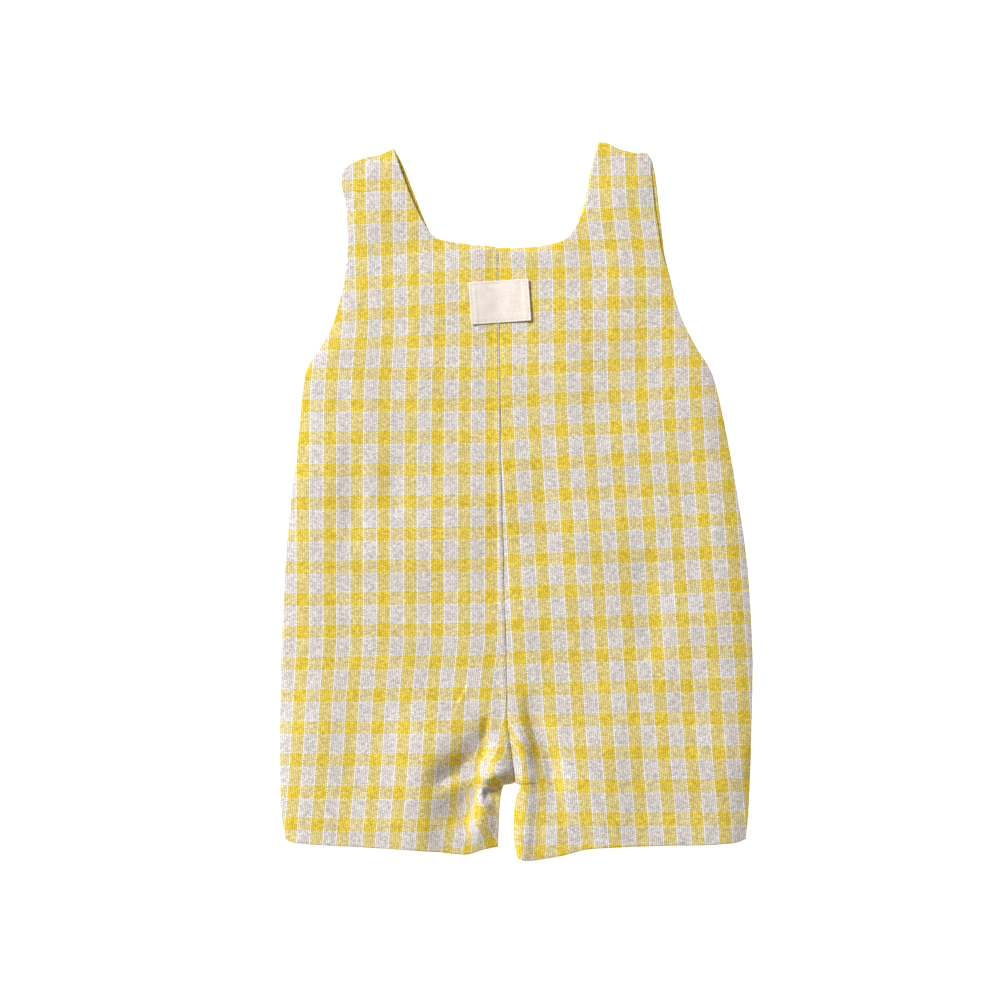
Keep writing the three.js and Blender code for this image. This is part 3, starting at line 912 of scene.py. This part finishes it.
@dataclass
class NeckLabel:
    """The bare woven label across the centre seam, laid on the cloth's upper face.

    Its short ends are turned under to turned_end, a row of stitches runs stitch_inset inside its
    border, and one side stands up by corner_lift. smoothing and reach set how it bridges the cloth.
    """

    width: float = 36.0
    height: float = 25.3
    centre: Point = (-9.8, 119.3)
    tilt: float = 4.0
    wall: float = 0.5
    edge_radius: float = 0.45
    rest: float = 0.5
    corner_lift: float = 0.5
    turned_end: float = 4.2
    turned_ply: float = 0.18
    stitch_inset: float = 1.5
    stitch_sink: float = 0.14
    smoothing: float = 30.0
    reach: float = 9.0
    yarn_pitch: float = 0.36

    def plane(self, across: Array, up: Array) -> tuple[Array, Array]:
        """Turns places on the label to the garment's plane.

        Args:
            across: distances from the label's middle along its width.
            up: distances from its middle along its height.

        Returns:
            Places along X and along Y.
        """
        turn = math.radians(self.tilt)
        x = self.centre[0] + across * math.cos(turn) - up * math.sin(turn)
        return x, self.centre[1] + across * math.sin(turn) + up * math.cos(turn)

    def cloth_height(self, halves: list[HalfCloth], x: Array, y: Array) -> Array:
        """Height of the cloth: a mean of its points, weighted by 1 / (distance^2 + smoothing)^3.

        Args:
            halves: the halves under the label.
            x: places along X.
            y: places along Y, of the same shape.

        Returns:
            Heights in that shape.
        """
        cloud = np.concatenate([h.upper_points().reshape(-1, 3) for h in halves])
        for axis, place in enumerate((x, y)):
            near = (cloud[:, axis] > place.min() - self.reach) & (cloud[:, axis] < place.max() + self.reach)
            cloud = cloud[near]
        distance2 = (x.reshape(-1, 1) - cloud[:, 0]) ** 2 + (y.reshape(-1, 1) - cloud[:, 1]) ** 2
        weight = 1 / (distance2 + self.smoothing) ** 3
        return ((weight * cloud[:, 2]).sum(1) / weight.sum(1)).reshape(x.shape)

    def spread(self, length: float, count: int) -> Array:
        """Places along one side, from its middle, with extra ones close to both ends.

        Args:
            length: the side's length.
            count: how many evenly spread places it has.

        Returns:
            The rising places.
        """
        edge, margin = LABEL_STEPS, 0.8
        even = np.linspace(margin, length - margin, count)
        return np.concatenate([edge, even, length - edge[::-1]]) - length / 2

    def build(self, halves: list[HalfCloth]) -> tuple[Piece, StitchRow]:
        """Makes the label.

        Args:
            halves: the halves under it.

        Returns:
            The label and the row of stitches round it.
        """
        across, up = np.meshgrid(self.spread(self.width, 56), self.spread(self.height, 40))
        x, y = self.plane(across, up)
        to_end = self.width / 2 - abs(across)
        gap = np.minimum(to_end, self.height / 2 - abs(up))
        lift = smoothstep(0.2, 1, across / self.width * 2) * smoothstep(0, 1.2, 1 - gap / 6)
        turned = 1 - smoothstep(self.turned_end - 0.4, self.turned_end + 0.4, to_end)
        z = self.cloth_height(halves, x, y) + self.wall / 2 + self.rest + self.corner_lift * lift
        z = z + self.turned_ply * turned - self.stitch_sink * bell(gap - self.stitch_inset, 0.6)
        z = z + LABEL_RIPPLES.at(x, y)
        half = np.full_like(x, self.wall / 2) * round_edge(gap, self.edge_radius)
        points, faces, source = shell(np.stack([x, y, z], axis=-1), half, half, 1)
        yarns = np.stack([across, up], axis=-1).reshape(-1, 2) / self.yarn_pitch
        piece = new_piece("woven_label", points, faces, {"yarns": yarns[source]})
        w, h = self.width / 2 - self.stitch_inset, self.height / 2 - self.stitch_inset
        corners = np.array([(-w, -h), (w, -h), (w, h), (-w, h), (-w, -h)])
        path = np.concatenate([np.linspace(p, q, 60)[:-1] for p, q in zip(corners[:-1], corners[1:])])
        px, py = self.plane(*path.T)
        nearest = ((px[:, None] - x.ravel()) ** 2 + (py[:, None] - y.ravel()) ** 2).argmin(1)
        line = np.stack([px, py, z.ravel()[nearest] + self.wall / 2], axis=-1)
        return piece, StitchRow(line, length=1.7, spacing=2.3, thickness=0.26)


# ---- finishes


def linear(colour: Rgb) -> Rgba:
    """Scene-linear colour of a display colour, along the sRGB curve."""
    shares = [step / 255 for step in colour]
    return *(v / 12.92 if v <= 0.04045 else ((v + 0.055) / 1.055) ** 2.4 for v in shares), 1.0


def display(colour: Rgb) -> Rgba:
    """Display colour as shares of 1."""
    return *(step / 255 for step in colour), 1.0


def set_inputs(node: Node, values: dict[str, object]) -> None:
    """Sets a node's constants by name."""
    for name, value in values.items():
        node.inputs[name].default_value = value


class Web:
    """Short words for adding nodes to a tree and joining them.

    A value given to a method is either an output to join or a constant, and each method but node
    and feed returns the new node's output.
    """

    def __init__(self, tree: Group) -> None:
        """Keeps the tree."""
        self.tree = tree

    def node(self, kind: str, **settings: object) -> Node:
        """Adds a node and sets its properties.

        Args:
            kind: the node's type.
            settings: its properties by name.

        Returns:
            The node.
        """
        made = self.tree.nodes.new(kind)
        for key, value in settings.items():
            setattr(made, key, value)
        return made

    def feed(self, socket: Socket, value: object) -> None:
        """Joins an output to a socket, or sets the socket to a constant.

        Args:
            socket: the input.
            value: the output or the constant.
        """
        if isinstance(value, bpy.types.NodeSocket):
            self.tree.links.new(value, socket)
        else:
            socket.default_value = value

    def fed(self, made: Node, slots: tuple[int | str, ...], values: tuple[object, ...]) -> Socket:
        """Feeds a node's inputs.

        Args:
            made: the node.
            slots: names or numbers of inputs.
            values: what feeds each.

        Returns:
            The node's first output.
        """
        for slot, value in zip(slots, values):
            self.feed(made.inputs[slot], value)
        return made.outputs[0]

    def math(self, operation: str, *values: object, clamp: bool = False) -> Socket:
        """A Math node."""
        made = self.node("ShaderNodeMath", operation=operation, use_clamp=clamp)
        return self.fed(made, (0, 1, 2), values)

    def mix(self, share: object, first: object, second: object, blend: str = "MIX") -> Socket:
        """A colour Mix node."""
        made = self.node("ShaderNodeMix", data_type="RGBA", blend_type=blend)
        self.fed(made, (0, 6, 7), (share, first, second))
        return made.outputs[2]

    def join(self, *values: object) -> Socket:
        """A Combine XYZ node."""
        return self.fed(self.node("ShaderNodeCombineXYZ"), (0, 1, 2), values)

    def noise(self, vector: object, scale: float, detail: float, rough: float) -> Socket:
        """A Noise Texture's value."""
        made = self.node("ShaderNodeTexNoise")
        return self.fed(made, ("Vector", "Scale", "Detail", "Roughness"), (vector, scale, detail, rough))

    def ramp(self, value: object, low: float, high: float) -> Socket:
        """Smooth step of a value from 0 at low to 1 at high."""
        made = self.node("ShaderNodeMapRange", interpolation_type="SMOOTHSTEP")
        return self.fed(made, (0, 1, 2), (value, low, high))

    def bump(self, height: Socket, strength: float, distance: float) -> Socket:
        """A Bump node."""
        made = self.node("ShaderNodeBump")
        return self.fed(made, ("Height", "Strength", "Distance"), (height, strength, distance))


def new_material(name: str) -> tuple[Material, Web, Node]:
    """Starts a material.

    Args:
        name: the material's name.

    Returns:
        The material, the web of its nodes and its shader.
    """
    material = bpy.data.materials.new(name)
    material.use_nodes = True
    return material, Web(material.node_tree), material.node_tree.nodes["Principled BSDF"]


def open_group(name: str, inputs: dict[str, object], outputs: tuple[str, ...]) -> tuple[Web, Node, Node]:
    """Starts a node group with named sockets.

    Args:
        name: the group's name.
        inputs: each input's default; None is a vector.
        outputs: names of the outputs, which are all numbers.

    Returns:
        The web to add nodes to, the group's input node and its output node.
    """
    group = bpy.data.node_groups.new(name, "ShaderNodeTree")
    for label, value in inputs.items():
        kind = "NodeSocketVector" if value is None else "NodeSocketFloat"
        socket = group.interface.new_socket(label, in_out="INPUT", socket_type=kind)
        if value is not None:
            socket.default_value = value
    for label in outputs:
        group.interface.new_socket(label, in_out="OUTPUT", socket_type="NodeSocketFloat")
    web = Web(group)
    return web, web.node("NodeGroupInput"), web.node("NodeGroupOutput")


def plain_weave_group() -> Group:
    """Plain weave in yarn counts: which yarn is on top, the relief and the slubs of both yarns.

    With p and q the yarn counts across and along, sin(pi p) sin(pi q) is positive where the warp
    yarn is on top and negative where the weft is, and its size is the roundness of that yarn.
    A yarn's slubs are noise that runs slowly along it and jumps from yarn to yarn.

    Returns:
        The group.
    """
    web, given, result = open_group(
        "plain weave", {"Yarns": None, "Slub Run": 0.42},
        ("Warp Over", "Relief", "Warp Rib", "Weft Rib", "Warp Slub", "Weft Slub"))
    split = web.node("ShaderNodeSeparateXYZ")
    web.feed(split.inputs[0], given.outputs["Yarns"])
    p, q, run = split.outputs[0], split.outputs[1], given.outputs["Slub Run"]
    ribs = [web.math("SINE", web.math("MULTIPLY", count, math.pi)) for count in (p, q)]
    wave = web.math("MULTIPLY", *ribs)
    # Warp Rib and Weft Rib drive the painted shade between the yarns in the gingham material
    for label, rib in zip(("Warp Rib", "Weft Rib"), ribs):
        web.feed(result.inputs[label], web.math("ABSOLUTE", rib))
    web.feed(result.inputs["Warp Over"], web.math("MULTIPLY_ADD", wave, 2.2, 0.5, clamp=True))
    web.feed(result.inputs["Relief"], web.math("ABSOLUTE", wave))
    for label, yarn, travel, shift in (("Warp Slub", p, q, 0.0), ("Weft Slub", q, p, 41.0)):
        yarn_number = web.math("MULTIPLY", web.math("FLOOR", yarn), 7.31)
        vector = web.join(yarn_number, web.math("MULTIPLY", travel, run), shift)
        web.feed(result.inputs[label], web.noise(vector, 1.0, 2.0, 0.6))
    return web.tree


def check_band_group() -> Group:
    """Bands of a gingham along one direction.

    A repeat has a dyed band, a run of pale melange, and one white yarn at each edge between them.
    Half Band is half the dyed band as a share of the repeat.

    Returns:
        The group.
    """
    web, given, result = open_group(
        "check band", {"Repeats": 0.0, "Yarns": WARP_YARNS, "Half Band": 0.225}, ("Dyed", "Edge Yarn"))
    place = web.math("FRACT", web.math("ADD", given.outputs["Repeats"], 0.5))
    distance = web.math("ABSOLUTE", web.math("SUBTRACT", place, 0.5))
    half = given.outputs["Half Band"]
    web.feed(result.inputs["Dyed"], web.math("LESS_THAN", distance, half))
    middle = web.math("ADD", half, web.math("DIVIDE", 0.5, given.outputs["Yarns"]))
    reach = web.math("DIVIDE", 0.34, given.outputs["Yarns"])
    web.feed(result.inputs["Edge Yarn"], web.math("COMPARE", distance, middle, reach))
    return web.tree


@dataclass(frozen=True)
class YarnSet:
    """The warp or the weft: yarns in a repeat, half the dyed band, and how white its edge yarn is.

    hollow and rise set the painted shade between its yarns: the share of colour left where a yarn's rib
    ends, and how fast that painted shade gives way across the yarn.
    """

    name: str
    yarns: float
    half_band: float
    white: float
    hollow: float
    rise: float


@dataclass(frozen=True)
class GinghamFinish:
    """Cotton and linen gingham: dyed, melange and white yarns in a plain weave.

    Yarn colours are mixed as display values, as the eye sees fine yarns, and made linear at the end.
    Painted shade darkens the colour between the yarns, and lit makes their crowns a touch lighter, a
    painted highlight.
    """

    dyed: Rgb = (249, 226, 110)
    dyed_dark: Rgb = (199, 168, 40)
    pale: Rgb = (244, 240, 240)
    pale_dark: Rgb = (186, 176, 172)
    white: Rgb = (255, 254, 252)
    warp: YarnSet = YarnSet("Warp", WARP_YARNS, 0.222, 0.72, 0.8, 0.8)
    weft: YarnSet = YarnSet("Weft", WEFT_YARNS, 0.203, 0.5, 0.96, 0.6)
    lit: float = 1.02
    warp_share: float = 0.58
    float_contrast: float = 0.36

    def yarn(self, web: Web, woven: Node, bands: Node, kind: YarnSet) -> tuple[Socket, Socket]:
        """Dyes one set of yarns.

        Args:
            web: the material's web.
            woven: the plain weave's node.
            bands: the check band's node, already given its place.
            kind: the warp or the weft.

        Returns:
            The colour of those yarns, and 1 on their white edge yarns.
        """
        set_inputs(bands, {"Yarns": kind.yarns, "Half Band": kind.half_band})
        uneven = web.ramp(woven.outputs[f"{kind.name} Slub"], 0.3, 0.7)
        dyed = web.mix(uneven, display(self.dyed_dark), display(self.dyed))
        pale = web.mix(uneven, display(self.pale_dark), display(self.pale))
        colour = web.mix(bands.outputs["Dyed"], pale, dyed)
        edge = bands.outputs["Edge Yarn"]
        return web.mix(web.math("MULTIPLY", edge, kind.white), colour, display(self.white)), edge

    def build(self, weave: Group, band: Group) -> Material:
        """Makes the material; the cloth's own UV maps place the checks and the yarns.

        Args:
            weave: the plain weave group.
            band: the check band group.

        Returns:
            The material.
        """
        material, web, shader = new_material("gingham")
        split = web.node("ShaderNodeSeparateXYZ")
        web.feed(split.inputs[0], web.node("ShaderNodeUVMap", uv_map="checks").outputs[0])
        yarns = web.node("ShaderNodeUVMap", uv_map="yarns").outputs[0]
        woven = web.node("ShaderNodeGroup", node_tree=weave)
        web.feed(woven.inputs["Yarns"], yarns)
        colours, edges, painted_gap_shades = [], [], []
        for kind, place in zip((self.warp, self.weft), split.outputs):
            bands = web.node("ShaderNodeGroup", node_tree=band)
            web.feed(bands.inputs["Repeats"], place)
            colour, edge = self.yarn(web, woven, bands, kind)
            colours.append(colour)
            edges.append(edge)
            # painted shade between the yarns: the colour falls to hollow where a yarn's rib ends and rises
            # to lit on its crown
            rib = web.ramp(woven.outputs[f"{kind.name} Rib"], 0.0, kind.rise)
            painted_gap_shades.append(web.math("MULTIPLY_ADD", rib, self.lit - kind.hollow, kind.hollow))
        over = web.math("SUBTRACT", woven.outputs["Warp Over"], 0.5)
        edge = web.math("MAXIMUM", edges[0], web.math("MULTIPLY", edges[1], 0.5))
        contrast = web.math("MULTIPLY_ADD", edge, 0.9 - self.float_contrast, self.float_contrast)
        share = web.math("MULTIPLY_ADD", over, contrast, self.warp_share, clamp=True)
        colour = web.mix(share, colours[1], colours[0])
        # the painted shade between the yarns multiplies the yarn colour
        painted_gap_shade = web.fed(web.node("ShaderNodeCombineColor"), (0, 1, 2), (web.math("MULTIPLY", *painted_gap_shades),) * 3)
        seen = web.mix(1.0, colour, painted_gap_shade, "MULTIPLY")
        base = web.fed(web.node("ShaderNodeGamma"), ("Color", "Gamma"), (seen, 2.2))
        web.feed(shader.inputs["Base Color"], base)
        fuzz = web.noise(yarns, 1.9, 3.0, 0.6)
        height = web.math("MULTIPLY_ADD", fuzz, 0.5, woven.outputs["Relief"])
        web.feed(shader.inputs["Normal"], web.bump(height, 0.5, 0.00015))
        web.feed(shader.inputs["Roughness"], web.math("MULTIPLY_ADD", fuzz, 0.12, 0.82))
        set_inputs(shader, {"Specular IOR Level": 0.2, "Sheen Weight": 0.06, "Sheen Roughness": 0.5})
        return material


@dataclass(frozen=True)
class TapeFinish:
    """Close-woven cream tape."""

    yarn: Rgb = (246, 238, 231)
    yarn_dark: Rgb = (228, 217, 208)

    def build(self, weave: Group) -> Material:
        """Makes the material; yarns are counted by the label's own UV map.

        Args:
            weave: the plain weave group.

        Returns:
            The material.
        """
        material, web, shader = new_material("label tape")
        woven = web.node("ShaderNodeGroup", node_tree=weave)
        web.feed(woven.inputs["Yarns"], web.node("ShaderNodeUVMap", uv_map="yarns").outputs[0])
        set_inputs(woven, {"Slub Run": 0.06})
        slub = web.mix(woven.outputs["Warp Over"], woven.outputs["Weft Slub"], woven.outputs["Warp Slub"])
        colour = web.mix(web.ramp(slub, 0.3, 0.7), linear(self.yarn_dark), linear(self.yarn))
        web.feed(shader.inputs["Base Color"], colour)
        web.feed(shader.inputs["Normal"], web.bump(woven.outputs["Relief"], 0.4, 0.00006))
        set_inputs(shader, {"Roughness": 0.8, "Sheen Weight": 0.1})
        return material


@dataclass(frozen=True)
class ThreadFinish:
    """Spun sewing thread with a fine twist."""

    name: str
    light: Rgb
    dark: Rgb

    def build(self) -> Material:
        """Makes the material; the twist is a slanted wave on object coordinates.

        Returns:
            The material.
        """
        material, web, shader = new_material(self.name)
        place = web.node("ShaderNodeTexCoord").outputs["Object"]
        twist = web.node("ShaderNodeTexWave", bands_direction="DIAGONAL")
        web.feed(twist.inputs["Vector"], place)
        set_inputs(twist, {"Scale": 900.0, "Distortion": 1.5})
        colour = web.mix(twist.outputs["Fac"], linear(self.dark), linear(self.light))
        web.feed(shader.inputs["Base Color"], colour)
        set_inputs(shader, {"Roughness": 0.6})
        return material


# ---- the garment


class Dungarees:
    """Builds and dresses the whole garment.

    turnings, in metres, is what a cut piece would add to its solid's box for hems and seams; nothing here
    uses it. The neck stitches show on the left half's seam allowance between the label and the neckline.
    """

    turnings: float = 0.02
    neck_inset: float = 1.0
    neck_from: float = 132.0
    neck_to: float = 151.0
    neck_left: float = -20.0

    def __init__(self) -> None:
        """Lays out the four halves and makes the shared finishes."""
        self.cloth = {(layer, cut.side): HalfCloth(cut, layer)
                      for layer in Layer for cut in (LEFT_CUT, RIGHT_CUT)}
        weave, band = plain_weave_group(), check_band_group()
        self.gingham = GinghamFinish().build(weave, band)
        self.tape = TapeFinish().build(weave)
        self.seam_thread = ThreadFinish("pale thread", (244, 232, 190), (214, 190, 120)).build()
        self.label_thread = ThreadFinish("cream thread", (240, 226, 212), (206, 186, 168)).build()

    def finish(self, piece: Piece, material: Material) -> None:
        """Gives a piece its material and its body.

        Args:
            piece: the piece.
            material: what it is dressed in.
        """
        piece.data.materials.append(material)
        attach(piece, "root")
        LOG.info("%s: %d faces", piece.name, len(piece.data.polygons))

    def build_halves(self) -> None:
        """Front and back halves, each standing for its solid."""
        for (layer, side), cloth in self.cloth.items():
            word = side.name.lower()
            piece = cloth.build(f"{layer.value}_{word}")
            self.finish(piece, self.gingham)
            node = f"{layer.value}_panel_{word}"
            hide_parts(node)
            cloth.area()

    def build_sewing(self) -> None:
        """Hem stitches on both legs, seam stitches at the neck, and the sewn label."""
        backs = [self.cloth[(Layer.BACK, side)] for side in Side]
        hems = [StitchRow(c.line_at(c.hem_gap, c.hem_depth - c.hem_inset, 0)) for c in backs]
        seam = backs[0].line_at(backs[0].inner_gap, self.neck_inset, 1)
        between = (seam[:, 1] > self.neck_from) & (seam[:, 1] < self.neck_to)
        seam = seam[between & (seam[:, 0] > self.neck_left)]
        neck = StitchRow(seam, length=1.9, spacing=2.6, thickness=0.3)
        self.finish(sew("seam_stitches", [*hems, neck]), self.seam_thread)
        label, row = NeckLabel().build(backs)
        self.finish(label, self.tape)
        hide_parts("label")
        self.finish(sew("label_stitches", [row]), self.label_thread)


@dataclass(frozen=True)
class SoftLight:
    """A square area light aimed at the garment's middle; places are metres and power is watts."""

    name: str
    place: tuple[float, float, float]
    size: float
    power: float
    colour: tuple[float, float, float] = (0.972, 0.99, 1.0)

    def build(self) -> None:
        """Makes the light."""
        data = bpy.data.lights.new(self.name, "AREA")
        data.shape, data.size, data.energy = "SQUARE", self.size, self.power
        data.color = self.colour
        lamp = link(bpy.data.objects.new(self.name, data))
        lamp.location = self.place
        lamp.rotation_euler = Vector(self.place).to_track_quat("Z", "Y").to_euler()


class Studio:
    """A pale floor, a soft key light from the upper left, a weak fill and the camera above."""

    view_width: float = 0.6
    camera_height: float = 1.5
    centre: Point = (-0.00975, 0.0006)
    floor_half: float = 3.0
    floor_gap: float = 0.0002
    floor_colour: Rgba = (0.95, 0.96, 0.985, 1)
    floor_glow: float = 0.75
    room_colour: Rgba = (1.0, 0.86, 0.69, 1)
    room_strength: float = 0.24
    lights: tuple[SoftLight, ...] = (SoftLight("key", (-2.9, 2.5, 2.8), 1.7, 308.0),
                                     SoftLight("fill", (1.2, -0.6, 1.6), 1.6, 4.0))

    def floor(self) -> None:
        """A plain white surface under the garment, lit from below so that it shows no shadow."""
        mesh = bpy.data.meshes.new("studio_floor")
        half = self.floor_half
        corners = [(-half, -half, 0), (half, -half, 0), (half, half, 0), (-half, half, 0)]
        mesh.from_pydata(corners, [], [(0, 1, 2, 3)])
        floor = link(bpy.data.objects.new("studio_floor", mesh))
        floor.location.z = -self.floor_gap
        material, _, shader = new_material("studio floor")
        set_inputs(shader, {"Base Color": self.floor_colour, "Roughness": 0.9, "Specular IOR Level": 0.1,
                            "Emission Color": (1, 1, 1, 1), "Emission Strength": self.floor_glow})
        mesh.materials.append(material)

    def camera(self) -> None:
        """Looks straight down; its lens takes in view_width at the surface."""
        data = bpy.data.cameras.new("camera")
        data.sensor_width = 36.0
        data.lens = data.sensor_width * self.camera_height / self.view_width
        camera = link(bpy.data.objects.new("camera", data))
        camera.location = (*self.centre, self.camera_height)
        bpy.context.scene.camera = camera

    def build(self) -> None:
        """Sets the whole studio."""
        self.camera()
        self.floor()
        for light in self.lights:
            light.build()
        world = bpy.data.worlds.new("studio")
        world.use_nodes = True
        background = world.node_tree.nodes["Background"]
        set_inputs(background, {"Color": self.room_colour, "Strength": self.room_strength})
        bpy.context.scene.world = world
        bpy.context.scene.view_settings.view_transform = "Standard"


def main() -> None:
    """Builds the studio and the garment."""
    logging.basicConfig(level=logging.INFO, format="%(name)s: %(message)s")
    Studio().build()
    dungarees = Dungarees()
    dungarees.build_halves()
    dungarees.build_sewing()


if __name__ == "__main__":
    main()
